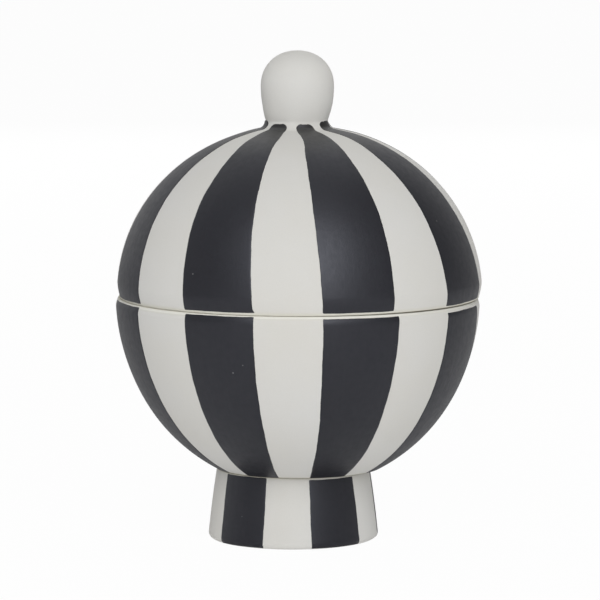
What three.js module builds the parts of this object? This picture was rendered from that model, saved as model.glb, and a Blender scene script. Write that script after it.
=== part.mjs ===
// A round ceramic candy box: a footed bowl, a domed lid with a knob, and painted dark stripes.
// Millimetres, +Z up. The ground is z = 0 and the lid's axis is x = y = 0.
// An azimuth of 0 degrees faces the front, -Y, and grows towards +X.
import * as THREE from "three";

// Bowl. Its outside curves in from the rim to the flat underside that the foot carries. A fullness
// of 2 is an ellipse, more is squarer and less is leaner.
const bowlRadius = 59.7;
const bowlFullness = 1.985;
const bowlHeight = 56.4;
const bowlWall = 3.8;
const bowlFloorThickness = 4.5;
const bowlRimRoundHeight = 2.0;
const bowlRimRoundDepth = 0.8;

// Foot. A hollow flaring ring, open below.
const footHeight = 23.35;
const footTopRadius = 25.1;
const footFlare = 2.75;
const footBulge = 0.15;
const footWall = 4.4;
const footEdgeRound = 1.8;

// Lid. A slightly squarer curve than the bowl's, with a thick rim for its locating ring.
const lidOverhang = 0.3;
const domeHeight = 56.1;
const domeFullness = 2.06;
const lidWall = 3.6;
const lidRimRoundHeight = 5.0;
const lidRimRoundDepth = 1.5;
const lidCoveHeight = 9.0;

// Locating ring under the lid, which drops into the bowl's mouth.
const ringClearance = 1.3;
const ringThickness = 3.2;
const ringDepth = 6.0;
const ringEdgeRound = 0.9;

// Knob on the flat land at the top of the dome.
const knobRadius = 12.0;
const knobNeckRadius = 10.2;
const knobBaseRadius = 12.5;
const knobFlareHeight = 3.3;
const knobBellyHeight = 14.0;
const knobCrownHeight = 11.65;
const knobCrownFullness = 2.14;
const knobLandMargin = 0.2;

// The pieces were joined by hand, so their axes stand a little off the lid's.
const bowlOffset = -0.5;
const footOffset = -2.1;
const knobOffset = -0.7;

// Stripes of dark slip: how many, where the first is centred, its share of the pitch, the columns
// that it covers, and the row of the wall's rounded edge that it starts from.
const slipThickness = 0.3;
const slipEndGap = 0.6;
const lidStripes = { count: 8, firstAzimuth: 18, share: 0.52, columns: 3, startRow: 1 };
const bowlStripes = { count: 8, firstAzimuth: 20, share: 0.53, columns: 3, startRow: 2 };
const footStripes = { count: 5, firstAzimuth: 31.5, share: 0.53, columns: 4, startRow: 2 };

// How finely the curved faces are divided.
const wallRows = 12;
const insideRows = 9;
const coveRows = 4;
const footRows = 5;
const edgeSteps = 3;
const knobFlareRows = 4;
const knobTaperRows = 5;
const knobCrownRows = 8;
const knobColumns = 40;
const ringColumns = 48;

// What follows from the sizes above. The bowl's curve is the one that passes through its base's edge.
const seamHeight = footHeight + bowlHeight;
const bowlBaseRadius = footTopRadius + Math.abs(footOffset - bowlOffset);
const bowlBaseShare = (1 - (bowlBaseRadius / bowlRadius) ** bowlFullness) ** (1 / bowlFullness);
const bowlCurve = { reach: bowlRadius, rise: bowlHeight / bowlBaseShare, fullness: bowlFullness };
const domeCurve = { reach: bowlRadius + lidOverhang, rise: domeHeight, fullness: domeFullness };
const mouthRadius = bowlRadius - bowlWall;
const ringOuterRadius = mouthRadius - Math.abs(bowlOffset) - ringClearance;
const ringInnerRadius = ringOuterRadius - ringThickness;
const landRadius = knobBaseRadius + Math.abs(knobOffset) + knobLandMargin;
const landRise = riseAt(domeCurve, landRadius);
const landHeight = seamHeight + landRise;

const bisque = new THREE.MeshStandardMaterial({ color: 0xd6d4cd, roughness: 0.85, metalness: 0 });
const slip = new THREE.MeshStandardMaterial({ color: 0x303236, roughness: 0.7, metalness: 0 });

// A superellipse's rise over its widest level at a given radius.
function riseAt(curve, radius) {
  return curve.rise * (1 - (radius / curve.reach) ** curve.fullness) ** (1 / curve.fullness);
}

// A superellipse's radius at a given rise over its widest level.
function radiusAt(curve, rise) {
  return curve.reach * (1 - (rise / curve.rise) ** curve.fullness) ** (1 / curve.fullness);
}

// The same curve, one wall thickness further in.
function inside(curve, wall) {
  return { reach: curve.reach - wall, rise: curve.rise - wall, fullness: curve.fullness };
}

// Numbers that go evenly from 0 to 1 in a number of steps.
function shares(steps) {
  return Array.from({ length: steps + 1 }, (_, i) => i / steps);
}

// Points [radius, rise] along a superellipse between two rises.
function curvePoints(curve, fromRise, toRise, rows) {
  const turnAt = (rise) => Math.asin((rise / curve.rise) ** (curve.fullness / 2));
  const from = turnAt(fromRise);
  const to = turnAt(toRise);
  return shares(rows).map((share) => {
    const turn = from + (to - from) * share;
    const radius = curve.reach * Math.cos(turn) ** (2 / curve.fullness);
    return [radius, curve.rise * Math.sin(turn) ** (2 / curve.fullness)];
  });
}

// A rounded rim edge: points [radius, rise] from the flat rim, at rise 0, up to the wall.
function rimRound(curve, depth, height) {
  const wallRadius = radiusAt(curve, height);
  return shares(edgeSteps).map((share) => {
    const turn = (share * Math.PI) / 2;
    return [wallRadius - depth * (1 - Math.sin(turn)), height * (1 - Math.cos(turn))];
  });
}

// Points on an arc round [centreRadius, centreHeight], with angles in degrees from +radius.
function arc(centreRadius, centreHeight, size, fromAngle, toAngle, steps) {
  return shares(steps).map((share) => {
    const angle = THREE.MathUtils.degToRad(fromAngle + (toAngle - fromAngle) * share);
    return [centreRadius + size * Math.cos(angle), centreHeight + size * Math.sin(angle)];
  });
}

// The azimuths of a striped wall's columns, with a column on both edges of each stripe.
function stripedColumns({ count, firstAzimuth, share, columns }) {
  const pitch = 360 / count;
  const azimuths = [];
  for (let i = 0; i < count; i++) {
    const start = firstAzimuth + pitch * (i - share / 2);
    for (let j = 0; j < columns; j++) azimuths.push(start + (pitch * share * j) / columns);
    for (let j = 0; j < columns; j++)
      azimuths.push(start + pitch * share + (pitch * (1 - share) * j) / columns);
  }
  return azimuths;
}

// The azimuths of the columns under one stripe.
function stripeSpan(stripes, index) {
  const first = index * 2 * stripes.columns;
  const columns = stripedColumns(stripes);
  return shares(stripes.columns).map((_, j) => columns[first + j]);
}

// Turns a closed outline of [radius, height] points, counterclockwise with the radius to the
// right, through a list of azimuths. A full turn closes on itself, and a part turn gets flat ends.
function turned(outline, azimuths, fullTurn) {
  const positions = [];
  const axisVertices = new Map();
  const vertexOf = azimuths.map((azimuth) => {
    const angle = THREE.MathUtils.degToRad(azimuth);
    return outline.map(([radius, height], row) => {
      if (radius === 0 && axisVertices.has(row)) return axisVertices.get(row);
      const vertex = positions.length / 3;
      positions.push(radius * Math.sin(angle), -radius * Math.cos(angle), height);
      if (radius === 0) axisVertices.set(row, vertex);
      return vertex;
    });
  });
  const faces = [];
  const addFace = (a, b, c) => {
    if (a !== b && b !== c && c !== a) faces.push(a, b, c);
  };
  const turns = fullTurn ? azimuths.length : azimuths.length - 1;
  for (let column = 0; column < turns; column++) {
    const here = vertexOf[column];
    const next = vertexOf[(column + 1) % azimuths.length];
    outline.forEach((_, row) => {
      const up = (row + 1) % outline.length;
      addFace(here[row], next[row], next[up]);
      addFace(here[row], next[up], here[up]);
    });
  }
  if (!fullTurn) {
    const contour = outline.map(([radius, height]) => new THREE.Vector2(radius, height));
    const [first, last] = [vertexOf[0], vertexOf[azimuths.length - 1]];
    for (const [a, b, c] of THREE.ShapeUtils.triangulateShape(contour, [])) {
      addFace(first[a], first[b], first[c]);
      addFace(last[a], last[c], last[b]);
    }
  }
  const geometry = new THREE.BufferGeometry();
  geometry.setAttribute("position", new THREE.Float32BufferAttribute(positions, 3));
  geometry.setIndex(faces);
  geometry.computeVertexNormals();
  return geometry;
}

// Turns a closed outline of [radius, height] points through a plain full turn.
function lathed(outline, columns) {
  const points = [...outline, outline[0]].map(([radius, height]) => new THREE.Vector2(radius, height));
  return new THREE.LatheGeometry(points, columns).rotateX(Math.PI / 2);
}

// A thin coat over a stretch of wall: the wall's own points, and the same points moved outwards.
function coatOutline(wallPoints, thickness) {
  const outer = wallPoints.map(([radius, height], i) => {
    const [r0, h0] = wallPoints[Math.max(i - 1, 0)];
    const [r1, h1] = wallPoints[Math.min(i + 1, wallPoints.length - 1)];
    const length = Math.hypot(r1 - r0, h1 - h0);
    const out = [(h1 - h0) / length, (r0 - r1) / length];
    return [radius + thickness * out[0], height + thickness * out[1]];
  });
  return [...outer, ...wallPoints.toReversed()];
}

// The wall points that a wall's stripes cover, from the rounded edge to near the wall's other end.
function stripedStretch(wallPoints, stripes) {
  const stretch = wallPoints.slice(stripes.startRow);
  const [endRadius, endHeight] = stretch[stretch.length - 1];
  const [radius, height] = stretch[stretch.length - 2];
  const back = slipEndGap / Math.hypot(endRadius - radius, endHeight - height);
  stretch[stretch.length - 1] = [
    endRadius + (radius - endRadius) * back,
    endHeight + (height - endHeight) * back,
  ];
  return stretch;
}

function mesh(name, geometry, material) {
  const made = new THREE.Mesh(geometry, material);
  made.name = name;
  return made;
}

// The stripes of one wall, each a separate coat of slip that ends on the wall's own columns.
// wallPoints run upwards.
function stripeMeshes(name, wallPoints, stripes) {
  const outline = coatOutline(wallPoints, slipThickness);
  return Array.from({ length: stripes.count }, (_, i) =>
    mesh(`${name}_${i + 1}`, turned(outline, stripeSpan(stripes, i), false), slip),
  );
}

// The dome's outside, from the rim up to the land under the knob.
function domeWall() {
  const rounded = rimRound(domeCurve, lidRimRoundDepth, lidRimRoundHeight);
  const wall = curvePoints(domeCurve, lidRimRoundHeight, landRise, wallRows);
  return [...rounded, ...wall.slice(1)].map(([radius, rise]) => [radius, seamHeight + rise]);
}

// The dome: outside wall, land, inside and the cove that thickens the rim over the ring.
function lidShell() {
  const inner = inside(domeCurve, lidWall);
  const coveRadius = radiusAt(inner, lidCoveHeight);
  const insideWall = curvePoints(inner, inner.rise, lidCoveHeight, insideRows);
  insideWall[0][0] = 0;
  const cove = shares(coveRows).map((share) => {
    const ease = (1 - Math.cos(share * Math.PI)) / 2;
    return [coveRadius + (ringInnerRadius - coveRadius) * ease, lidCoveHeight * (1 - share)];
  });
  const within = [...insideWall, ...cove.slice(1)].map(([radius, rise]) => [radius, seamHeight + rise]);
  const outline = [...domeWall(), [0, landHeight], ...within];
  return mesh("lid_shell", turned(outline, stripedColumns(lidStripes), true), bisque);
}

// The locating ring, flat against the lid's rim, with rounded lower edges.
function lidRing() {
  const low = seamHeight - ringDepth + ringEdgeRound;
  const outline = [
    ...arc(ringInnerRadius + ringEdgeRound, low, ringEdgeRound, 180, 270, edgeSteps),
    ...arc(ringOuterRadius - ringEdgeRound, low, ringEdgeRound, 270, 360, edgeSteps),
    [ringOuterRadius, seamHeight],
    [ringInnerRadius, seamHeight],
  ];
  return mesh("lid_locating_ring", lathed(outline, ringColumns), bisque);
}

// The knob: a flared base, a tapering neck and a round crown.
function lidKnob() {
  const flare = shares(knobFlareRows).map((share) => {
    const turn = (share * Math.PI) / 2;
    const radius = knobBaseRadius - (knobBaseRadius - knobNeckRadius) * Math.sin(turn);
    return [radius, knobFlareHeight * (1 - Math.cos(turn))];
  });
  const taper = shares(knobTaperRows).map((share) => {
    const height = knobFlareHeight + (knobBellyHeight - knobFlareHeight) * share;
    return [knobRadius - (knobRadius - knobNeckRadius) * (1 - share) ** 2, height];
  });
  const crownCurve = { reach: knobRadius, rise: knobCrownHeight, fullness: knobCrownFullness };
  const crown = curvePoints(crownCurve, 0, knobCrownHeight, knobCrownRows).map(([radius, rise]) => [
    radius,
    knobBellyHeight + rise,
  ]);
  crown[knobCrownRows][0] = 0;
  const outline = [[0, 0], ...flare, ...taper.slice(1), ...crown.slice(1)];
  const raised = outline.map(([radius, height]) => [radius, landHeight + height]);
  const knob = mesh("lid_knob", lathed(raised, knobColumns), bisque);
  knob.position.x = knobOffset;
  return knob;
}

// The bowl's outside, from its flat underside up to the rim.
function bowlWallPoints() {
  const rounded = rimRound(bowlCurve, bowlRimRoundDepth, bowlRimRoundHeight);
  const wall = curvePoints(bowlCurve, bowlRimRoundHeight, bowlHeight, wallRows);
  const downwards = [...rounded, ...wall.slice(1)].map(([radius, drop]) => [radius, seamHeight - drop]);
  return downwards.toReversed();
}

// The bowl: flat underside, outside wall, flat rim, inside and flat floor.
function bowlShell() {
  const inner = inside(bowlCurve, bowlWall);
  const floorDrop = bowlHeight - bowlFloorThickness;
  const insideWall = curvePoints(inner, 0, floorDrop, insideRows);
  const outline = [
    [0, footHeight],
    ...bowlWallPoints(),
    ...insideWall.map(([radius, drop]) => [radius, seamHeight - drop]),
    [0, seamHeight - floorDrop],
  ];
  return mesh("bowl_shell", turned(outline, stripedColumns(bowlStripes), true), bisque);
}

// The foot's outside, from its rounded lower edge up to its flat top.
function footWallPoints() {
  const baseRadius = footTopRadius + footFlare;
  const edge = arc(baseRadius - footEdgeRound, footEdgeRound, footEdgeRound, 270, 360, edgeSteps);
  const wall = shares(footRows).map((share) => {
    const bulge = footBulge * Math.sin(share * Math.PI);
    const height = footEdgeRound + (footHeight - footEdgeRound) * share;
    return [baseRadius - footFlare * share + bulge, height];
  });
  return [...edge, ...wall.slice(1)];
}

// The foot: a ring whose flat top carries the bowl and whose flat base stands on the table.
function footRing() {
  const outline = [
    ...footWallPoints(),
    [footTopRadius - footWall, footHeight],
    [footTopRadius + footFlare - footWall, 0],
  ];
  return mesh("foot_ring", turned(outline, stripedColumns(footStripes), true), bisque);
}

const lidStretch = stripedStretch(domeWall(), lidStripes);
const lid = new THREE.Group();
lid.add(lidShell(), lidRing(), lidKnob(), ...stripeMeshes("lid_stripe", lidStretch, lidStripes));

const bowlStretch = stripedStretch(bowlWallPoints().toReversed(), bowlStripes).toReversed();
const bowl = new THREE.Group();
bowl.position.x = bowlOffset;
bowl.add(bowlShell(), ...stripeMeshes("bowl_stripe", bowlStretch, bowlStripes));

const footStretch = stripedStretch(footWallPoints(), footStripes);
const foot = new THREE.Group();
foot.position.x = footOffset;
foot.add(footRing(), ...stripeMeshes("foot_stripe", footStretch, footStripes));

const candyBox = new THREE.Group();
candyBox.add(lid, bowl, foot);

export default candyBox;
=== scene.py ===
"""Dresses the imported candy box: turned clay, bands of brushed slip, a studio and a camera.

Lengths are millimetres in the row frame until a mesh is made. An azimuth of 0 degrees faces the
front, -Y, and grows towards +X.
"""

import math

import bpy
import numpy as np
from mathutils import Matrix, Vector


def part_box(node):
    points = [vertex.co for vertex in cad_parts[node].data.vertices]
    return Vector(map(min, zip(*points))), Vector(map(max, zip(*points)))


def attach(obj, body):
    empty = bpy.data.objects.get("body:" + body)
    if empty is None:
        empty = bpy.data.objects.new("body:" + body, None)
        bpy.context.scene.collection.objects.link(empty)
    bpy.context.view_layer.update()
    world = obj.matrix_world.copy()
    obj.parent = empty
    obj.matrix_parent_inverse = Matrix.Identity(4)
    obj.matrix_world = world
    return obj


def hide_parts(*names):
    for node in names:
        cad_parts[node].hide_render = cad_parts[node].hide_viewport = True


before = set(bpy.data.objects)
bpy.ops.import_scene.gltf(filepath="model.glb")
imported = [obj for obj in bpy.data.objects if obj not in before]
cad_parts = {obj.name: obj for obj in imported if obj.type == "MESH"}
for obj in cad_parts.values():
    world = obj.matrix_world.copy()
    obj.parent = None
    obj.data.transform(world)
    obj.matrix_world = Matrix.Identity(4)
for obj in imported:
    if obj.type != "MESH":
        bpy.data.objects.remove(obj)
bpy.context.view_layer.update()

MM = 0.001


def node_box(name):
    """The lowest and highest corner of a CAD node, in millimetres."""
    low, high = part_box(name)
    return np.array(low) / MM, np.array(high) / MM


def middle_x(name):
    """The middle of a CAD node from left to right."""
    low, high = node_box(name)
    return (low[0] + high[0]) / 2


# Sizes that the frame gives.
SEAM = node_box("lid_shell")[0][2]
FOOT_TOP = node_box("bowl_shell")[0][2]
KNOB_TOP = node_box("lid_knob")[1][2]
RING_LOW = node_box("lid_locating_ring")[0][2]
RING_OUTER = node_box("lid_locating_ring")[1][0]
BOWL_X = middle_x("bowl_shell")
FOOT_X = middle_x("foot_ring")
KNOB_X = middle_x("lid_knob")

# Bowl: nearly an ellipse whose half height is BOWL_RISE, cut off flat over the foot at
# BOWL_BASE_SHARE of that.
BOWL_RADIUS = 59.65
BOWL_FULLNESS = 2.01
BOWL_BASE_RADIUS = 26.75
BOWL_WALL = 3.8
BOWL_FLOOR = 4.5
BOWL_FLOOR_BLEND = 2.5
BOWL_LIP = 0.9
BOWL_BASE_SHARE = (1 - (BOWL_BASE_RADIUS / BOWL_RADIUS) ** BOWL_FULLNESS) ** (1 / BOWL_FULLNESS)
BOWL_RISE = (SEAM - FOOT_TOP) / BOWL_BASE_SHARE

# The axis of the bowl's outside is BOWL_SHIFT along +X from the middle of its CAD node, and moves
# by BOWL_DRIFT more towards the foot.
BOWL_SHIFT = -0.1
BOWL_DRIFT = 0.25

# The bowl's wall is flatter than the ellipse by up to BOWL_FLAT, down to BOWL_FLAT_REACH under the
# seam, and tapers in towards its rim.
BOWL_FLAT = 0.25
BOWL_FLAT_REACH = 48
BOWL_RIM_DEPTH = 0.8
BOWL_RIM_HEIGHT = 2.6
BOWL_RIM_POWER = 1.6

# The fine crease where the bowl sits on its foot: the rounding of both edges.
CREASE_EDGE = 0.2

# Foot: a flaring ring, worn round at both edges of its base.
FOOT_TOP_RADIUS = 25.1
FOOT_FLARE = 2.75
FOOT_BULGE = 0.15
FOOT_WALL = 4.4
FOOT_EDGE = 1.8
FOOT_INNER_EDGE = 0.8

# Lid: a superellipse, a little squarer than an ellipse, that tapers in towards its rim.
LID_RADIUS = 59.92
LID_RISE = 56.08
LID_FULLNESS = 2.058
LID_WALL = 3.6
LID_RIM_DEPTH = 1.2
LID_RIM_HEIGHT = 5.6
LID_RIM_POWER = 1.5
LID_COVE_HEIGHT = 9.0

# The lid's axis drifts by LID_DRIFT along +X within this rise over the seam.
LID_DRIFT = -0.12
LID_DRIFT_RISE = 30

# Locating ring. Its top stays a little under the seam, so that no two faces that slide on each
# other lie in one plane.
RING_THICKNESS = 3.2
RING_EDGE = 0.9
RING_CLEARANCE = 0.03

# Knob, and the fillet that blends it into the dome.
KNOB_RADIUS = 11.97
KNOB_NECK = 10.21
KNOB_FILLET = 3.0
KNOB_CROWN = 11.65
KNOB_CROWN_FULLNESS = 2.14

# The lid's axis moves over to the knob's from KNOB_SHIFT_START before the neck, and within
# KNOB_SHIFT_REACH along the wall. The knob's foot stands off by KNOB_LEAN along +X, which fades
# out within the first KNOB_LEAN_REACH of the neck.
KNOB_SHIFT_START = 13
KNOB_SHIFT_REACH = 10
KNOB_LEAN = -0.2
KNOB_LEAN_REACH = 5

# Rims: the radius and the degrees of the sponged edges, and how far each rim's face falls away
# towards the outside, which leaves the fine dark line of the seam. The bowl's rim dips most at
# one azimuth.
SPONGED_EDGE = 0.32
SPONGED_ARC = 75
RIM_FALL = 0.05
RIM_DIP = 0.42
RIM_DIP_AZIMUTH = 62
RIM_DIP_REACH = 8.0
RIM_DIP_FOCUS = 4

# Hand work: how far the clay waves inside its true curve, and the ridges that the fingers leave
# on the inside. Both fade out towards the axis, within their radii. Each wave has its count to a
# turn, its lean for each millimetre of height, its phase and its share.
WAVE_DEPTH = 0.07
HAND_WAVES = (
    (2, 0.031, 0.7, 1.0),
    (3, -0.052, -1.9, 0.7),
    (5, 0.11, 2.6, 0.5),
    (9, -0.19, 0.4, 0.25),
)
WAVE_FADE_RADIUS = 30
FINGER_RIDGE = 0.12
FINGER_PITCH = 3.4
FINGER_FADE_RADIUS = 12

# Slip: its thickness, its rounded border and how deep the border is sunk.
SLIP_THICKNESS = 0.1
SLIP_BORDER = 0.4
SLIP_SUNK = 0.03

# The slip is thicker by SLIP_POOL where the brush stopped at the knob, within SLIP_POOL_REACH.
SLIP_POOL = 0.16
SLIP_POOL_REACH = 2.4

# How far a brushed side wavers, and the wavelengths of that with their shares. Each end is
# ragged by SLIP_RAGGED of it, which fades out within SLIP_RAGGED_REACH.
SLIP_WAVER = 0.16
WAVERS = ((41, 0.45), (14, 0.3), (5, 0.16), (1.7, 0.09))
SLIP_RAGGED = 0.8
SLIP_RAGGED_REACH = 5

# How fine the meshes are: columns round the clay, and the most between points along an outside,
# an inside, the foot's inside, the bowl's underside and across a band. A wall's line may stop
# WALL_BRIDGE short of the next one's, and the mesh bridges it.
COLUMNS = 210
STEP = 0.55
INSIDE_STEP = 1.0
FOOT_INSIDE_STEP = 1.2
UNDERSIDE_STEP = 2.0
BAND_STEP = 0.9
WALL_BRIDGE = 0.1

# The painted bands that the photo shows, by the number of their CAD node. Each has the azimuths
# of its left and right side at these shares of its length, away from the seam on the lid and the
# bowl, and up from the base on the foot.
BAND_SHARES = {
    "lid": (0.0, 0.4, 0.72, 0.86, 1.0),
    "bowl": (0.0, 0.15, 0.5, 1.0),
    "foot": (0.0, 1.0),
}
SEEN_BANDS = {
    "lid": {
        1: ((7.1, 30.4), (5.3, 30.0), (3.6, 29.6), (3.4, 29.8), (-1.4, 29.7)),
        2: ((52.6, 78.5), (50.5, 75.6), (49.4, 77.0), (50.0, 78.6), (44.0, 80.0)),
        7: ((-84.0, -59.8), (-85.0, -61.8), (-90.0, -65.0), (-94.0, -68.0), (-92.0, -60.5)),
        8: ((-38.2, -14.4), (-40.3, -16.3), (-43.2, -17.8), (-47.5, -18.5), (-51.1, -17.2)),
    },
    "bowl": {
        1: ((7.7, 32.9), (7.7, 32.6), (7.8, 32.3), (7.7, 33.0)),
        2: ((54.0, 77.8), (53.8, 80.6), (53.6, 84.0), (54.3, 85.5)),
        7: ((-84.0, -59.5), (-83.6, -59.0), (-83.0, -58.3), (-82.0, -56.0)),
        8: ((-37.1, -13.7), (-37.0, -13.6), (-36.7, -13.4), (-37.4, -13.5)),
    },
    "foot": {
        1: ((12.7, 51.0), (11.7, 50.0)),
        5: ((-57.5, -20.4), (-58.0, -19.9)),
    },
}

# The other bands carry on at an even pitch: how many a part has in all, the middle of the first,
# the width of each, and where the seeds of the painter's small errors start.
ROUND_BANDS = 8
FOOT_BANDS = 5
EVEN_BANDS = {
    "lid": (ROUND_BANDS, 18, 24, 300),
    "bowl": (ROUND_BANDS, 20, 24.5, 400),
    "foot": (FOOT_BANDS, 31.5, 38, 400),
}

# The painter's small errors in degrees: a band's middle, half its width and its lean.
PAINTER_SHIFT = 1.2
PAINTER_WIDTH = 0.7
PAINTER_LEAN = 1.5

# The body that a part's bands ride on, and where the seeds of their brush strokes start.
BAND_BODIES = {"lid": "lid", "bowl": "bowl", "foot": "bowl"}
BRUSH_SEEDS = {"lid": 0, "bowl": 10, "foot": 20}

# How far each band stays from the seam, or on the foot from the crease. Below, the bowl's bands
# stay BOWL_LOW_GAP from the crease, and the foot's FOOT_LOW_GAP from the table.
BAND_GAPS = {"lid": 0.8, "bowl": 0.9, "foot": 1.1}
OWN_GAPS = {
    ("lid", 2): 0.65,
    ("lid", 7): 0.55,
    ("bowl", 1): 0.7,
    ("bowl", 2): 1.25,
    ("bowl", 7): 0.4,
    ("bowl", 8): 0.35,
    ("foot", 1): 0.85,
    ("foot", 5): 0.35,
}
BOWL_LOW_GAP = 0.06
FOOT_LOW_GAP = 0.25

# How the brush ended: how far a band's right corner flares out at the seam, the rounding of its
# corners along and across it, at a plain end and at the blob round the knob, and how high each
# blob reaches over the seam.
OWN_FLARES = {("lid", 8): 0.8, ("bowl", 8): 0.2}
FLARE_REACH = 1.6
PLAIN_CORNER = (0.4, 0.4)
BLOB_CORNER = (1.5, 2.0)
BLOB_REACH = 57.1
OWN_BLOBS = {2: 57.8, 7: 57.8}

# Tones of the clay: outside, under the glaze and bare, the factors of its warmer clouds, cream where
# it was sponged, a painted highlight along the bowl's outer edge under the seam, painted shade in
# the crease and along the seam, grains, and specks of iron.
OUTSIDE_TONE = (0.692, 0.687, 0.666)
GLAZED_TONE = (0.78, 0.77, 0.735)
BARE_TONE = (0.64, 0.615, 0.55)
WARM_FACTORS = (0.975, 0.965, 0.94)
CREAM = (0.65, 0.63, 0.52)
RIM_EDGE_HIGHLIGHT = (0.845, 0.84, 0.8)
CREASE_SHADE = (0.21, 0.19, 0.13)
SEAM_SHADE = (0.16, 0.14, 0.085)
GRAIN_TONE = (0.42, 0.41, 0.38)
IRON_TONE = (0.24, 0.2, 0.15)

# The seam's painted shade grows from the first of these shares to the second, between these
# places from left to right.
SEAM_SHADE_PLACES = (2, 38)
SEAM_SHADE_SHARES = (0.05, 0.9)

# Tones of the slip, and the heights over the seam between which it turns paler, a painted sheen
# of light from above on the top of the dome, and darkens at the tips.
SLIP_DARK = (0.003, 0.003, 0.0052)
SLIP_CLOUD = (0.0056, 0.0054, 0.0072)
SLIP_BLOTCH = (0.0082, 0.0062, 0.0095)
SLIP_STREAK = (0.011, 0.0122, 0.0165)
SLIP_TOP_SHEEN = (0.046, 0.0455, 0.042)
SLIP_TIP = (0.0105, 0.0082, 0.0055)
DUST_TONE = (0.26, 0.26, 0.26)
TOP_SHEEN_HEIGHTS = (47, 55)
TIP_HEIGHTS = (55.6, 56.3)

# Studio, in metres and degrees. The camera sees the floor's own glow at FLOOR_SEEN_GLOW. The slip
# reflects a pale backdrop. Its middle is behind the box and a little to its left, and it fades
# into the room where the cosine of the angle from there falls from the second of BACKDROP_COSINES
# to the first.
FLOOR_HALF = 9.0
FLOOR_PAPER = (0.88, 0.88, 0.88)
FLOOR_SEEN_GLOW = 0.97
BACKDROP_AZIMUTH = 205
BACKDROP_COSINES = (0.0, 0.8)
WHITE = (1, 1, 1)
LAMP_DISTANCE = 1.8
LAMP_AIM_HEIGHT = 0.08


def smooth(share):
    """Eases from 0 to 1."""
    share = np.clip(share, 0, 1)
    return share * share * (3 - 2 * share)


def smoothly_through(shares, values, at):
    """A curve through a few values, with the slope at each from its two neighbours."""
    shares = np.array(shares, float)
    values = np.array(values, float)
    slopes = np.gradient(values, shares)
    place = np.clip(np.searchsorted(shares, at, side="right") - 1, 0, len(shares) - 2)
    span = shares[place + 1] - shares[place]
    t = (at - shares[place]) / span
    start, end = values[place], values[place + 1]
    rise, fall = slopes[place] * span, slopes[place + 1] * span
    return (
        (2 * t**3 - 3 * t**2 + 1) * start
        + (t**3 - 2 * t**2 + t) * rise
        + (3 * t**2 - 2 * t**3) * end
        + (t**3 - t**2) * fall
    )


def arc(centre, size, from_angle, to_angle, steps=8):
    """Points [radius, height] on an arc, with angles in degrees from the +radius direction."""
    angles = np.radians(np.linspace(from_angle, to_angle, steps + 1))
    return np.stack([centre[0] + size * np.cos(angles), centre[1] + size * np.sin(angles)], 1)


def superellipse_radius(rise, reach, top, fullness):
    """The radius at a rise over the widest place: reach at no rise, and 0 at the top."""
    return reach * (1 - np.clip(rise / top, 0, 1) ** fullness) ** (1 / fullness)


def evenly(points, step=STEP):
    """The same line with its points a step apart, or closer where it already had them closer."""
    points = np.array(points, float)
    lengths = np.hypot(*np.diff(points, axis=0).T)
    line = [points[:1]]
    for start, end, length in zip(points[:-1], points[1:], lengths):
        parts = max(1, math.ceil(length / step - 0.01))
        shares = np.arange(1, parts + 1)[:, None] / parts
        line.append(start + (end - start) * shares)
    return np.concatenate(line)


class Wall:
    """A turned surface: a line [radius, height] with the clay on its left, and its axis's place.

    The outside of a wall runs upwards, and the inside downwards.
    """

    def __init__(self, line, axis_x=0.0, relief=None, dip=None):
        self.radius, self.height = np.array(line, float).T
        steps = np.hypot(np.diff(self.radius), np.diff(self.height))
        self.along = np.concatenate([[0], np.cumsum(steps)])
        across = np.gradient(self.radius, self.along)
        up = np.gradient(self.height, self.along)
        length = np.hypot(across, up)
        self.out = up / length, -across / length
        self.axis = np.broadcast_to(axis_x, self.radius.shape)
        self.relief = relief
        self.dip = dip

    def at(self, values, along):
        """The value at a distance along the line, from its values at the line's points."""
        return np.interp(along, self.along, values)

    def place(self, azimuth, along, lift=0.0):
        """Points at an azimuth and a distance along the line, lifted off the surface."""
        azimuth, along = np.broadcast_arrays(azimuth, along)
        radius, height = self.at(self.radius, along), self.at(self.height, along)
        if self.relief:
            lift = lift + self.relief(azimuth, along, radius, height)
        turned_radius = radius + lift * self.at(self.out[0], along)
        if self.dip:
            height = height - self.dip(azimuth, radius, height)
        angle = np.radians(azimuth)
        return np.stack(
            [
                self.at(self.axis, along) + turned_radius * np.sin(angle),
                -turned_radius * np.cos(angle),
                height + lift * self.at(self.out[1], along),
            ],
            -1,
        )

    def rings(self):
        """The surface's points, a ring for each point of the line."""
        azimuths = np.arange(COLUMNS) * 360 / COLUMNS
        return self.place(azimuths[None, :], self.along[:, None])

    def along_at_height(self, height):
        """The distance along the line at which it first reaches a height."""
        return float(np.interp(height, np.maximum.accumulate(self.height), self.along))


def hand_waves(azimuth, along, radius, height):
    """The slow waves of a hand-finished wall, all of them inside the true curve."""
    turn = np.radians(azimuth)
    waves = sum(
        share * np.sin(count * turn + lean * height + phase)
        for count, lean, phase, share in HAND_WAVES
    )
    span = 2 * sum(share for *_, share in HAND_WAVES)
    return -WAVE_DEPTH * (0.5 + waves / span) * smooth(radius / WAVE_FADE_RADIUS)


def finger_ridges(azimuth, along, radius, height):
    """The shallow spiral that fingers leave inside a thrown pot, deeper and shallower by turns."""
    turn = np.radians(azimuth) + 2 * math.pi * along / FINGER_PITCH
    swell = 0.6 + 0.4 * np.sin(along / 11 + 1.3)
    depth = FINGER_RIDGE * swell * smooth(radius / FINGER_FADE_RADIUS)
    return depth * (np.sin(turn) - 1) / 2


def rim_dip(azimuth, radius, height):
    """How far the bowl's rim sinks: a low place in its outer edge that fades out down the wall."""
    towards_it = 0.5 + 0.5 * np.cos(np.radians(azimuth - RIM_DIP_AZIMUTH))
    down_wall = smooth(1 - (SEAM - height) / RIM_DIP_REACH)
    outer_edge = smooth((radius - BOWL_RADIUS + BOWL_WALL / 2) / (BOWL_WALL / 2))
    return RIM_DIP * towards_it**RIM_DIP_FOCUS * down_wall * outer_edge


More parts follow.
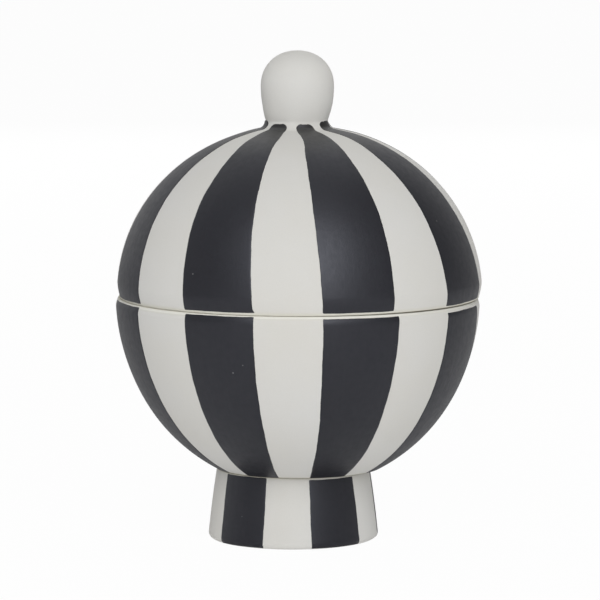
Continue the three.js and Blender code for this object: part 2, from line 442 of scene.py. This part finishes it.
def lid_radius(rise):
    """The dome's radius at a rise over the seam, with the slight taper towards its rim."""
    taper = LID_RIM_DEPTH * (1 - np.minimum(rise / LID_RIM_HEIGHT, 1)) ** LID_RIM_POWER
    return superellipse_radius(rise, LID_RADIUS, LID_RISE, LID_FULLNESS) - taper


def bowl_radius(drop):
    """The bowl's radius at a drop under the seam, flatter half way down and tapered at its rim."""
    taper = BOWL_RIM_DEPTH * (1 - np.minimum(drop / BOWL_RIM_HEIGHT, 1)) ** BOWL_RIM_POWER
    flat = BOWL_FLAT * np.sin(math.pi * np.minimum(drop / BOWL_FLAT_REACH, 1)) ** 2
    return superellipse_radius(drop, BOWL_RADIUS, BOWL_RISE, BOWL_FULLNESS) - taper - flat


def dome_line():
    """The dome's outside as if it closed over the axis, from just above the rim."""
    near_rim = np.linspace(SPONGED_EDGE, LID_RIM_HEIGHT, 14)
    taper_turn = math.asin((LID_RIM_HEIGHT / LID_RISE) ** (LID_FULLNESS / 2))
    turns = np.linspace(taper_turn, math.pi / 2, 260)[1:]
    rises = np.concatenate([near_rim, LID_RISE * np.sin(turns) ** (2 / LID_FULLNESS)])
    return np.stack([lid_radius(rises), SEAM + rises], 1)


def knob_line(dome):
    """The dome up to the knob, the fillet there, the tapering neck and the crown.

    Also gives the height at which the neck starts.
    """
    # The fillet's centre moves down until the fillet just touches the dome.
    centre = np.array([KNOB_NECK + KNOB_FILLET, dome[-1][1] + KNOB_FILLET])
    for _ in range(12):
        away = np.hypot(*(dome - centre).T)
        centre[1] -= away.min() - KNOB_FILLET
    touch = int(away.argmin())
    from_angle = math.degrees(math.atan2(*(dome[touch] - centre)[::-1]))
    fillet = arc(centre, KNOB_FILLET, from_angle, -180, 14)
    belly = KNOB_TOP - KNOB_CROWN
    shares = np.linspace(0, 1, 24)[1:, None]
    neck = np.concatenate(
        [
            KNOB_RADIUS - (KNOB_RADIUS - KNOB_NECK) * (1 - shares) ** 2,
            centre[1] + (belly - centre[1]) * shares,
        ],
        1,
    )
    turns = np.linspace(0, math.pi / 2, 44)[1:]
    power = 2 / KNOB_CROWN_FULLNESS
    crown = np.stack(
        [KNOB_RADIUS * np.cos(turns) ** power, belly + KNOB_CROWN * np.sin(turns) ** power], 1
    )
    crown[-1][0] = 0
    return np.concatenate([dome[:touch], fillet, neck, crown]), neck[0][1]


def lid_inside_line():
    """The inside of the dome, from the axis down, and the cove that leads to the ring."""
    inner_reach = LID_RADIUS - LID_WALL
    inner_rise = LID_RISE - LID_WALL
    cove_turn = math.asin((LID_COVE_HEIGHT / inner_rise) ** (LID_FULLNESS / 2))
    turns = np.linspace(math.pi / 2, cove_turn, 120)
    vault = np.stack(
        [
            inner_reach * np.cos(turns) ** (2 / LID_FULLNESS),
            SEAM + inner_rise * np.sin(turns) ** (2 / LID_FULLNESS),
        ],
        1,
    )
    vault[0][0] = 0
    cove_radius = superellipse_radius(LID_COVE_HEIGHT, inner_reach, inner_rise, LID_FULLNESS)
    ring_inner = RING_OUTER - RING_THICKNESS
    shares = np.linspace(0, 1, 20)[1:]
    cove = np.stack(
        [
            cove_radius + (ring_inner - cove_radius) * smooth(shares),
            SEAM + LID_COVE_HEIGHT * (1 - shares),
        ],
        1,
    )
    return np.concatenate([vault, cove])


def lid_walls():
    """The lid's outside, from the seam to the top of the knob, its inside and its rim's face."""
    dome = dome_line()
    edge = arc((dome[0][0] - SPONGED_EDGE, dome[0][1]), SPONGED_EDGE, -SPONGED_ARC, 0)[:-1]
    body, neck_start = knob_line(dome)
    outside = Wall(evenly(np.concatenate([edge, body])), relief=hand_waves)
    past_start = outside.along - outside.along_at_height(neck_start) + KNOB_SHIFT_START
    to_knob = smooth(past_start / KNOB_SHIFT_REACH)
    drift = LID_DRIFT * smooth((outside.height - SEAM) / LID_DRIFT_RISE)
    lean = KNOB_LEAN * smooth(1 - (outside.height - neck_start) / KNOB_LEAN_REACH)
    outside.axis = drift + (KNOB_X - LID_DRIFT + lean) * to_knob

    inside = Wall(evenly(lid_inside_line(), INSIDE_STEP), relief=finger_ridges)
    middle = (RING_OUTER + outside.radius[0]) / 2
    rim_line = [
        [RING_OUTER - RING_THICKNESS, SEAM],
        [middle, SEAM],
        [outside.radius[0] - WALL_BRIDGE, SEAM + RIM_FALL],
    ]
    rim = Wall(evenly(rim_line, INSIDE_STEP))
    return outside, inside, rim


def bowl_outside_line():
    """The bowl's outside, from the rounding of its base to its sponged edge at the seam."""
    base_turn = math.asin((SEAM - FOOT_TOP) / BOWL_RISE)
    rim_turn = math.asin(BOWL_RIM_HEIGHT / BOWL_RISE)
    near_rim = np.linspace(BOWL_RIM_HEIGHT, SPONGED_EDGE, 9)[1:]
    drops = np.concatenate([BOWL_RISE * np.sin(np.linspace(base_turn, rim_turn, 150)), near_rim])
    curve = np.stack([bowl_radius(drops), SEAM - drops], 1)
    edge_centre = (BOWL_BASE_RADIUS - CREASE_EDGE, FOOT_TOP + CREASE_EDGE)
    base_edge = arc(edge_centre, CREASE_EDGE, -90, -35)
    body = curve[curve[:, 1] > base_edge[-1][1]]
    top_edge = arc((curve[-1][0] - SPONGED_EDGE, curve[-1][1]), SPONGED_EDGE, 0, SPONGED_ARC)[1:]
    top_edge[:, 1] -= RIM_FALL
    return np.concatenate([base_edge, body, top_edge])


def bowl_inside_line():
    """The bowl's inside, from its lip down the wall and over the floor to the axis."""
    mouth = BOWL_RADIUS - BOWL_WALL
    inner_rise = BOWL_RISE - BOWL_WALL
    floor = FOOT_TOP + BOWL_FLOOR
    turns = np.linspace(math.asin(BOWL_LIP / inner_rise), math.pi / 2, 150)
    wall_height = SEAM - inner_rise * np.sin(turns)
    blended = np.sqrt((wall_height - floor) ** 2 + BOWL_FLOOR_BLEND**2)
    inner = np.stack([mouth * np.cos(turns), (wall_height + floor + blended) / 2], 1)
    inner[-1][0] = 0
    lip_edge = arc((mouth + BOWL_LIP, SEAM - BOWL_LIP), BOWL_LIP, 90, 180)
    return np.concatenate([lip_edge, inner[1:]])


def bowl_walls():
    """The bowl's underside, its outside up to the seam, its rim's face and its inside."""
    outside = Wall(evenly(bowl_outside_line()), relief=hand_waves, dip=rim_dip)
    to_seam = (outside.height - FOOT_TOP) / (SEAM - FOOT_TOP)
    outside.axis = BOWL_X + BOWL_SHIFT + BOWL_DRIFT * (1 - smooth(to_seam))
    underside_line = [[0, FOOT_TOP], [BOWL_BASE_RADIUS - CREASE_EDGE, FOOT_TOP]]
    underside = Wall(evenly(underside_line, UNDERSIDE_STEP), axis_x=outside.axis[0])

    mouth = BOWL_RADIUS - BOWL_WALL
    rim_line = [
        [outside.radius[-1] - WALL_BRIDGE, outside.height[-1]],
        [(mouth + outside.radius[-1]) / 2, SEAM],
        [mouth + BOWL_LIP, SEAM],
    ]
    rim = Wall(evenly(rim_line, INSIDE_STEP), axis_x=BOWL_X + BOWL_SHIFT, dip=rim_dip)
    inside = Wall(evenly(bowl_inside_line(), INSIDE_STEP), axis_x=BOWL_X, relief=finger_ridges)
    return underside, outside, rim, inside


def foot_walls():
    """The foot's outside, from its base up to the crease, and the rest of it."""
    base_radius = FOOT_TOP_RADIUS + FOOT_FLARE
    edge = arc((base_radius - FOOT_EDGE, FOOT_EDGE), FOOT_EDGE, -90, 0, 12)
    shares = np.linspace(0, 1, 40)[1:]
    wall = np.stack(
        [
            base_radius - FOOT_FLARE * shares + FOOT_BULGE * np.sin(math.pi * shares),
            FOOT_EDGE + (FOOT_TOP - CREASE_EDGE - FOOT_EDGE) * shares,
        ],
        1,
    )
    top_edge = arc((FOOT_TOP_RADIUS - CREASE_EDGE, FOOT_TOP - CREASE_EDGE), CREASE_EDGE, 0, 90)[1:]
    line = evenly(np.concatenate([edge, wall, top_edge]))
    outside = Wall(line, axis_x=FOOT_X, relief=hand_waves)

    worn_centre = (base_radius - FOOT_WALL + FOOT_INNER_EDGE, FOOT_INNER_EDGE)
    worn = arc(worn_centre, FOOT_INNER_EDGE, 180, 270)
    within = [[FOOT_TOP_RADIUS - CREASE_EDGE, FOOT_TOP], [FOOT_TOP_RADIUS - FOOT_WALL, FOOT_TOP]]
    line = evenly(np.concatenate([within, worn, [[base_radius - FOOT_EDGE, 0]]]), FOOT_INSIDE_STEP)
    return outside, Wall(line, axis_x=FOOT_X)


def locating_ring_wall():
    """The ring under the lid, as one closed line."""
    low, high = RING_LOW + RING_EDGE, SEAM - RING_CLEARANCE
    inner = RING_OUTER - RING_THICKNESS
    line = np.concatenate(
        [
            [[RING_OUTER, high], [inner, high]],
            arc((inner + RING_EDGE, low), RING_EDGE, 180, 270),
            arc((RING_OUTER - RING_EDGE, low), RING_EDGE, 270, 360),
            [[RING_OUTER, high - WALL_BRIDGE]],
        ]
    )
    return Wall(evenly(line, INSIDE_STEP))


def mesh_through(name, rows, materials, row_materials, round_turn=True, strokes=None):
    """An object whose mesh runs through rows of points; a row on the axis becomes one vertex."""
    vertices, ids = [], []
    for row in rows:
        if round_turn and np.ptp(row, axis=0).max() < 1e-6:
            ids.append([len(vertices)] * len(row))
            vertices.append(row[0])
        else:
            ids.append(range(len(vertices), len(vertices) + len(row)))
            vertices.extend(row)
    faces, face_materials = [], []
    columns = len(rows[0])
    for index in range(len(rows) if round_turn else len(rows) - 1):
        here, above = ids[index], ids[(index + 1) % len(rows)]
        for column in range(columns if round_turn else columns - 1):
            after = (column + 1) % columns
            corners = (here[column], here[after], above[after], above[column])
            corners = tuple(dict.fromkeys(corners))
            if len(corners) > 2:
                faces.append(corners)
                face_materials.append(row_materials[index])
    mesh = bpy.data.meshes.new(name)
    mesh.from_pydata((np.array(vertices) * MM).tolist(), [], faces)
    mesh.polygons.foreach_set("material_index", face_materials)
    if strokes is not None:
        loops = np.zeros(len(mesh.loops), np.int32)
        mesh.loops.foreach_get("vertex_index", loops)
        layer = mesh.uv_layers.new(name="strokes")
        layer.data.foreach_set("uv", strokes.reshape(-1, 2)[loops].astype(np.float32).ravel())
    for material in materials:
        mesh.materials.append(material)
    mesh.shade_smooth()
    mesh.validate()
    made = bpy.data.objects.new(name, mesh)
    bpy.context.scene.collection.objects.link(made)
    return made


def clay_piece(name, walls, materials, body, nodes):
    """A clay piece from walls that follow each other round its section."""
    rows = np.concatenate([wall.rings() for wall, _ in walls])
    row_materials = [material for wall, material in walls for _ in wall.along]
    piece = mesh_through(name, rows, materials, row_materials)
    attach(piece, body)
    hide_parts(*nodes)


def band_edges(part, number):
    """The azimuths of a band's sides: as the photo shows them, or at an even pitch."""
    if number in SEEN_BANDS[part]:
        return SEEN_BANDS[part][number]
    count, first, width, seed = EVEN_BANDS[part]
    rng = np.random.default_rng(seed + number)
    centre = first + 360 / count * (number - 1) + rng.uniform(-PAINTER_SHIFT, PAINTER_SHIFT)
    half = width / 2 + rng.uniform(-PAINTER_WIDTH, PAINTER_WIDTH)
    lean = rng.uniform(-PAINTER_LEAN, PAINTER_LEAN)
    middles = [centre + lean * share for share in BAND_SHARES[part]]
    return [(middle - half, middle + half) for middle in middles]


def band_ends(part, number, wall):
    """The distances along its wall at which a band starts and ends."""
    gap = OWN_GAPS.get((part, number), BAND_GAPS[part])
    if part == "lid":
        low, high = SEAM + gap, SEAM + OWN_BLOBS.get(number, BLOB_REACH)
    elif part == "bowl":
        low, high = FOOT_TOP + BOWL_LOW_GAP, SEAM - gap
    else:
        low, high = FOOT_LOW_GAP, FOOT_TOP - gap
    return wall.along_at_height(low), wall.along_at_height(high)


def waver(rng, along):
    """How a brushed side strays from its line, slowly and quickly, in millimetres."""
    stray = np.zeros_like(along)
    for wavelength, share in WAVERS:
        wavelength *= rng.uniform(0.85, 1.15)
        stray += SLIP_WAVER * share * np.sin(2 * math.pi * along / wavelength + rng.uniform(0, 6.3))
    return stray


def border_spaced(length, step):
    """Places from 0 to a length, close together at both borders, where the slip rounds off."""
    border = SLIP_BORDER * np.array([0, 0.08, 0.22, 0.45, 0.72, 1.0])
    middle = np.linspace(border[-1], length - border[-1], max(2, math.ceil(length / step)))
    return np.concatenate([border[:-1], middle, length - border[-2::-1]])


def corner_inset(from_end, corner):
    """How far a side draws in near an end, round an elliptical corner (along, across)."""
    near = 1 - np.minimum(from_end / corner[0], 1)
    return corner[1] * (1 - np.sqrt(1 - near**2))


def band_sides(part, number, wall, ends, along, rng):
    """The azimuths of a band's left and right side, with its rounded corners and brushed edges.

    Also gives how many degrees a millimetre is there.
    """
    start, end = ends
    edges, shares = band_edges(part, number), np.array(BAND_SHARES[part])
    if part == "bowl":
        edges, shares = edges[::-1], 1 - shares[::-1]
    share = (along - start) / (end - start)
    degrees = 180 / math.pi / wall.at(wall.radius, along)
    inset = corner_inset(along - start, PLAIN_CORNER)
    inset += corner_inset(end - along, BLOB_CORNER if part == "lid" else PLAIN_CORNER)
    left = smoothly_through(shares, [pair[0] for pair in edges], share)
    right = smoothly_through(shares, [pair[1] for pair in edges], share)
    left = left + (inset + waver(rng, along)) * degrees
    right = right - (inset + waver(rng, along)) * degrees
    from_seam = along - start if part == "lid" else end - along
    flare = OWN_FLARES.get((part, number), 0)
    right = right + flare * (1 - np.minimum(from_seam / FLARE_REACH, 1)) ** 2 * degrees
    return left, right, degrees


def slip_band(part, number, wall, material):
    """A band of slip on a wall: a raised coat with a rounded border.

    The brush left a thicker, rounder blob at the far end of a lid's band.
    """
    rng = np.random.default_rng(BRUSH_SEEDS[part] + number)
    start, end = band_ends(part, number, wall)
    along = start + border_spaced(end - start, STEP)
    left, right, degrees = band_sides(part, number, wall, (start, end), along, rng)
    width = (right - left) / degrees
    widest = float(width.max())
    across = border_spaced(widest, BAND_STEP) / widest
    azimuth = left[:, None] + (right - left)[:, None] * across

    from_end = np.minimum(along - start, end - along)
    from_side = np.minimum(across, 1 - across) * width[:, None]
    from_border = np.minimum(from_side, from_end[:, None])
    rounded = np.sqrt(1 - (1 - np.minimum(from_border / SLIP_BORDER, 1)) ** 2)
    thickness = np.full_like(along, SLIP_THICKNESS)
    if part == "lid":
        thickness += SLIP_POOL * smooth(1 - (end - along) / SLIP_POOL_REACH)
    lift = (thickness[:, None] + SLIP_SUNK) * rounded - SLIP_SUNK

    ragged = SLIP_RAGGED * waver(rng, np.linspace(0, widest, len(across)))
    shifted = along[:, None] + ragged * smooth(1 - from_end / SLIP_RAGGED_REACH)[:, None]
    rows = wall.place(azimuth, shifted, lift)
    strokes = np.stack(np.broadcast_arrays(across * widest, shifted), -1)

    name = f"{part}_band_{number}"
    piece = mesh_through(name, rows, [material], [0] * len(along), round_turn=False, strokes=strokes)
    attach(piece, BAND_BODIES[part])
    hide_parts(f"{part}_stripe_{number}")


def feed(tree, socket, value):
    """Gives a node's input its value, or links it to the socket that feeds it."""
    if isinstance(value, bpy.types.NodeSocket):
        tree.links.new(value, socket)
    elif socket.type == "RGBA":
        socket.default_value = (*value, 1.0)
    else:
        socket.default_value = value


def add(tree, kind, settings=None, **inputs):
    """Adds a shader node. Each input is a value, or the socket that feeds it."""
    made = tree.nodes.new(kind)
    for key, value in (settings or {}).items():
        setattr(made, key, value)
    for key, value in inputs.items():
        feed(tree, made.inputs[key.replace("_", " ")], value)
    return made


def noise(tree, place, scale, detail=3.0, roughness=0.5):
    """A noise with this many cells to a metre of the place, or to a millimetre of a stroke."""
    return add(
        tree, "ShaderNodeTexNoise", Vector=place, Scale=scale, Detail=detail, Roughness=roughness
    ).outputs["Fac"]


def between(tree, value, low, high, to_low=0.0, to_high=1.0, ease=False):
    """The value's place between two limits, clamped, as a number between two others."""
    return add(
        tree,
        "ShaderNodeMapRange",
        {"interpolation_type": "SMOOTHSTEP" if ease else "LINEAR"},
        Value=value,
        From_Min=low,
        From_Max=high,
        To_Min=to_low,
        To_Max=to_high,
    ).outputs["Result"]


def calculated(tree, operation, first, second):
    """What an operation makes of two values or sockets."""
    made = add(tree, "ShaderNodeMath", {"operation": operation})
    for socket, value in zip(made.inputs, (first, second)):
        feed(tree, socket, value)
    return made.outputs[0]


def weighted(tree, *terms):
    """The terms added up, each of them a socket and its weight."""
    total = None
    for socket, weight in terms:
        term = calculated(tree, "MULTIPLY", socket, weight)
        total = term if total is None else calculated(tree, "ADD", total, term)
    return total


def mixed(tree, share, first, second, kind="RGBA"):
    """Two colours or numbers mixed; the share and both of them are values or sockets."""
    made = add(tree, "ShaderNodeMix", {"data_type": kind})
    # The node has sockets of their own for colours and for numbers.
    start = {"RGBA": 6, "FLOAT": 2}[kind]
    for index, value in ((0, share), (start, first), (start + 1, second)):
        feed(tree, made.inputs[index], value)
    return made.outputs[{"RGBA": 2, "FLOAT": 0}[kind]]


def tinted(tree, colour, mask, amount, tint):
    """The colour with an amount of a tint where the mask is."""
    return mixed(tree, calculated(tree, "MULTIPLY", mask, amount), colour, tint)


def specks(tree, place, spacing, size, share):
    """A mask of small round specks: about one in each spacing, on a share of the places."""
    cells = add(tree, "ShaderNodeTexVoronoi", Vector=place, Scale=1 / (spacing * MM))
    dot = between(tree, cells.outputs["Distance"], size / spacing, 0.5 * size / spacing)
    red = add(tree, "ShaderNodeSeparateColor", Color=cells.outputs["Color"]).outputs["Red"]
    chosen = calculated(tree, "LESS_THAN", red, share)
    return calculated(tree, "MULTIPLY", dot, chosen)


def new_material(name):
    """A material, its nodes and its shader."""
    material = bpy.data.materials.new(name)
    material.use_nodes = True
    tree = material.node_tree
    return material, tree, tree.nodes["Principled BSDF"]


def add_bump(tree, shader, height, strength, depth):
    """Shades the surface as if it were raised, by depth millimetres for a height of 1."""
    bump = add(tree, "ShaderNodeBump", Height=height, Strength=strength, Distance=depth * MM)
    tree.links.new(bump.outputs["Normal"], shader.inputs["Normal"])


def bisque_material(name, tone, roughness, glaze=0.0):
    """Fired off-white clay: cloudy, finely grained, cream where the rims were sponged."""
    material, tree, shader = new_material(name)
    place = add(tree, "ShaderNodeTexCoord").outputs["Object"]
    clouds = between(tree, noise(tree, place, scale=32, detail=4), 0.3, 0.7)
    grain = between(tree, noise(tree, place, scale=2600, detail=2), 0.3, 0.7)
    warm = tuple(channel * factor for channel, factor in zip(tone, WARM_FACTORS))
    colour = mixed(tree, clouds, warm, tone)
    colour = tinted(tree, colour, grain, 0.05, GRAIN_TONE)
    parts = add(tree, "ShaderNodeSeparateXYZ", Vector=place).outputs
    # Painted shade along the seam, darker towards the right.
    seam_shade = between(tree, parts["X"], SEAM_SHADE_PLACES[0] * MM, SEAM_SHADE_PLACES[1] * MM, *SEAM_SHADE_SHARES)
    # Each band of tint has its height, how far it reaches from there, its share and its tint: cream,
    # a painted highlight on the bowl's edge, and painted shade in the crease and the seam.
    for level, reach, amount, tint in (
        (SEAM, 1.6, 0.5, CREAM),
        # A painted highlight along the bowl's outer edge, just under the seam.
        (SEAM - 0.5, 0.55, 0.55, RIM_EDGE_HIGHLIGHT),
        (FOOT_TOP, 1.0, 0.4, CREAM),
        # Painted shade in the crease under the bowl.
        (FOOT_TOP, 0.35, 0.8, CREASE_SHADE),
        # Painted shade along the seam.
        (SEAM, 0.4, seam_shade, SEAM_SHADE),
    ):
        away = calculated(tree, "ABSOLUTE", calculated(tree, "SUBTRACT", parts["Z"], level * MM), 0)
        near = between(tree, away, reach * MM, 0.2 * reach * MM, ease=True)
        colour = tinted(tree, colour, near, amount, tint)
    iron = specks(tree, place, spacing=6.0, size=0.16, share=0.35)
    colour = tinted(tree, colour, iron, 0.35, IRON_TONE)
    tree.links.new(colour, shader.inputs["Base Color"])
    rough = between(tree, grain, 0, 1, roughness - 0.06, roughness + 0.06)
    tree.links.new(rough, shader.inputs["Roughness"])
    shader.inputs["IOR"].default_value = 1.36
    shader.inputs["Diffuse Roughness"].default_value = 0.27
    if glaze:
        shader.inputs["Coat Weight"].default_value = glaze
        shader.inputs["Coat Roughness"].default_value = 0.16
    pits = calculated(tree, "MULTIPLY", noise(tree, place, scale=700), 0.6)
    add_bump(tree, shader, calculated(tree, "ADD", pits, grain), strength=0.35, depth=0.02)
    return material


def slip_material():
    """Charcoal slip laid on with a brush: streaks along the stroke, a soft sheen, some dust."""
    material, tree, shader = new_material("brushed_slip")
    place = add(tree, "ShaderNodeTexCoord").outputs["Object"]
    stroke = add(tree, "ShaderNodeUVMap", {"uv_map": "strokes"}).outputs["UV"]
    streak_place = add(tree, "ShaderNodeMapping", Vector=stroke, Scale=(1.0, 0.06, 1.0)).outputs[0]
    brushed = noise(tree, streak_place, scale=1.1, detail=5, roughness=0.65)
    streaks = between(tree, brushed, 0.3, 0.7)
    bristles = between(tree, noise(tree, streak_place, scale=5.5, detail=2), 0.3, 0.7)
    clouds = between(tree, noise(tree, place, scale=60, detail=4), 0.3, 0.7)
    grain = noise(tree, place, scale=2200, detail=2)
    blotches = between(tree, noise(tree, place, scale=480, roughness=0.6), 0.35, 0.65)
    colour = mixed(tree, clouds, SLIP_DARK, SLIP_CLOUD)
    colour = tinted(tree, colour, blotches, 0.5, SLIP_BLOTCH)
    colour = tinted(tree, colour, streaks, 0.15, SLIP_STREAK)
    height = add(tree, "ShaderNodeSeparateXYZ", Vector=place).outputs["Z"]
    # Paler towards the top of the dome: a painted sheen of light from above. Browner at the tips.
    for heights, tone in ((TOP_SHEEN_HEIGHTS, SLIP_TOP_SHEEN), (TIP_HEIGHTS, SLIP_TIP)):
        low, high = ((SEAM + rise) * MM for rise in heights)
        colour = mixed(tree, between(tree, height, low, high, ease=True), colour, tone)
    dust = specks(tree, place, spacing=7.0, size=0.3, share=0.45)
    colour = tinted(tree, colour, dust, 0.7, DUST_TONE)
    tree.links.new(colour, shader.inputs["Base Color"])
    sheen = weighted(tree, (streaks, 0.4), (blotches, 0.6))
    tree.links.new(between(tree, sheen, 0, 1, 0.51, 0.41), shader.inputs["Roughness"])
    shader.inputs["IOR"].default_value = 1.65
    shader.inputs["Specular Tint"].default_value = (0.86, 0.89, 1.0, 1.0)
    surface = weighted(tree, (streaks, 0.6), (bristles, 0.25), (blotches, 0.8), (grain, 0.5))
    add_bump(tree, shader, surface, strength=0.5, depth=0.03)
    return material


def by_ray(tree, lighting, reflected, seen):
    """A level that depends on the ray: one that lights, one that reflects, or one that sees."""
    path = add(tree, "ShaderNodeLightPath").outputs
    direct = calculated(tree, "MAXIMUM", path["Is Camera Ray"], path["Is Transmission Ray"])
    level = mixed(tree, path["Is Glossy Ray"], lighting, reflected, "FLOAT")
    return mixed(tree, direct, level, seen, "FLOAT")


def add_floor(glow, reflected_glow):
    """A plain white table that shows the object's shadow faintly.

    glow is the share of it that shines by itself and lights the box from below, and
    reflected_glow is that share in reflections. The rest is paper that the lamps light.
    """
    half = FLOOR_HALF
    corners = [(-half, -half, 0), (half, -half, 0), (half, half, 0), (-half, half, 0)]
    mesh = bpy.data.meshes.new("floor")
    mesh.from_pydata(corners, [], [(0, 1, 2, 3)])
    floor = bpy.data.objects.new("floor", mesh)
    bpy.context.scene.collection.objects.link(floor)
    material = bpy.data.materials.new("floor_white")
    material.use_nodes = True
    tree = material.node_tree
    tree.nodes.clear()
    paper = add(tree, "ShaderNodeBsdfDiffuse", Color=FLOOR_PAPER)
    own_light = add(tree, "ShaderNodeEmission", Color=WHITE, Strength=1.0)
    mix = add(tree, "ShaderNodeMixShader")
    tree.links.new(by_ray(tree, glow, reflected_glow, FLOOR_SEEN_GLOW), mix.inputs[0])
    tree.links.new(paper.outputs[0], mix.inputs[1])
    tree.links.new(own_light.outputs[0], mix.inputs[2])
    output = add(tree, "ShaderNodeOutputMaterial")
    tree.links.new(mix.outputs[0], output.inputs["Surface"])
    mesh.materials.append(material)


def add_world(strength, room, backdrop):
    """Even light from all round, with a white background.

    A reflection sees the dim room in front of the box and the pale backdrop behind it.
    """
    world = bpy.data.worlds.new("studio")
    bpy.context.scene.world = world
    world.use_nodes = True
    tree = world.node_tree
    tree.nodes.clear()
    towards = add(tree, "ShaderNodeTexCoord").outputs["Generated"]
    turn = math.radians(BACKDROP_AZIMUTH)
    backwards = add(tree, "ShaderNodeVectorMath", {"operation": "DOT_PRODUCT"})
    tree.links.new(towards, backwards.inputs[0])
    backwards.inputs[1].default_value = (math.sin(turn), -math.cos(turn), 0)
    cosine = backwards.outputs["Value"]
    reflected = between(tree, cosine, *BACKDROP_COSINES, room, backdrop, ease=True)
    level = by_ray(tree, strength, reflected, 1.0)
    sky = add(tree, "ShaderNodeBackground", Color=WHITE, Strength=level)
    output = add(tree, "ShaderNodeOutputWorld")
    tree.links.new(sky.outputs[0], output.inputs["Surface"])


def add_softbox(name, azimuth, elevation, size, energy, reflected=True):
    """A square lamp that faces the middle of the box. reflected says whether gloss shows it."""
    lamp = bpy.data.lights.new(name, "AREA")
    lamp.shape = "SQUARE"
    lamp.size = size
    lamp.energy = energy
    made = bpy.data.objects.new(name, lamp)
    turn, rise = math.radians(azimuth), math.radians(elevation)
    made.location = (
        LAMP_DISTANCE * math.sin(turn) * math.cos(rise),
        -LAMP_DISTANCE * math.cos(turn) * math.cos(rise),
        LAMP_AIM_HEIGHT + LAMP_DISTANCE * math.sin(rise),
    )
    made.rotation_euler = (math.pi / 2 - rise, 0, turn)
    made.visible_glossy = reflected
    bpy.context.scene.collection.objects.link(made)


def add_camera():
    """The photo's camera: 1.4 m away, a little above the lid and tipped down at the box."""
    place = (0.00015, -1.4, 0.23399)
    pitch_down = 6.34
    photo_focal_pixels = 4296
    photo_width_pixels = 600
    camera = bpy.data.cameras.new("camera")
    camera.sensor_width = 36
    camera.lens = photo_focal_pixels / photo_width_pixels * camera.sensor_width
    camera.clip_start, camera.clip_end = 0.05, 60
    made = bpy.data.objects.new("camera", camera)
    made.location = place
    made.rotation_euler = (math.radians(90 - pitch_down), 0, 0)
    bpy.context.scene.collection.objects.link(made)
    bpy.context.scene.camera = made


# The clay's materials, and the place of each in the list.
clay_materials = [
    bisque_material("bisque_outside", OUTSIDE_TONE, roughness=0.74),
    bisque_material("bisque_glazed_inside", GLAZED_TONE, roughness=0.5, glaze=0.8),
    bisque_material("bisque_bare", BARE_TONE, roughness=0.85),
]
OUTSIDE, GLAZED, BARE = 0, 1, 2
slip = slip_material()

lid_outside, lid_inside, lid_rim = lid_walls()
bowl_underside, bowl_outside, bowl_rim, bowl_inside = bowl_walls()
foot_outside, foot_rest = foot_walls()

clay_piece(
    "lid_clay",
    [(lid_outside, OUTSIDE), (lid_inside, GLAZED), (lid_rim, BARE)],
    clay_materials,
    "lid",
    ["lid_shell", "lid_knob"],
)
clay_piece(
    "locating_ring_clay",
    [(locating_ring_wall(), BARE)],
    clay_materials,
    "lid_ring",
    ["lid_locating_ring"],
)
clay_piece(
    "bowl_clay",
    [(bowl_underside, BARE), (bowl_outside, OUTSIDE), (bowl_rim, BARE), (bowl_inside, GLAZED)],
    clay_materials,
    "bowl",
    ["bowl_shell"],
)
clay_piece(
    "foot_clay",
    [(foot_outside, OUTSIDE), (foot_rest, BARE)],
    clay_materials,
    "bowl",
    ["foot_ring"],
)

for number in range(1, ROUND_BANDS + 1):
    slip_band("lid", number, lid_outside, slip)
    slip_band("bowl", number, bowl_outside, slip)
for number in range(1, FOOT_BANDS + 1):
    slip_band("foot", number, foot_outside, slip)

add_floor(glow=0.48, reflected_glow=0.0)
add_world(strength=0.19, room=0.24, backdrop=0.66)
add_softbox("front_softbox", azimuth=2, elevation=31, size=1.5, energy=23.8)
add_softbox("top_softbox", azimuth=0, elevation=78, size=1.2, energy=1.2)
add_softbox("back_softbox", azimuth=166, elevation=62, size=1.2, energy=1.9)
add_softbox("fill_softbox", azimuth=180, elevation=22, size=1.2, energy=10.0, reflected=False)
add_camera()
bpy.context.scene.view_settings.view_transform = "Standard"
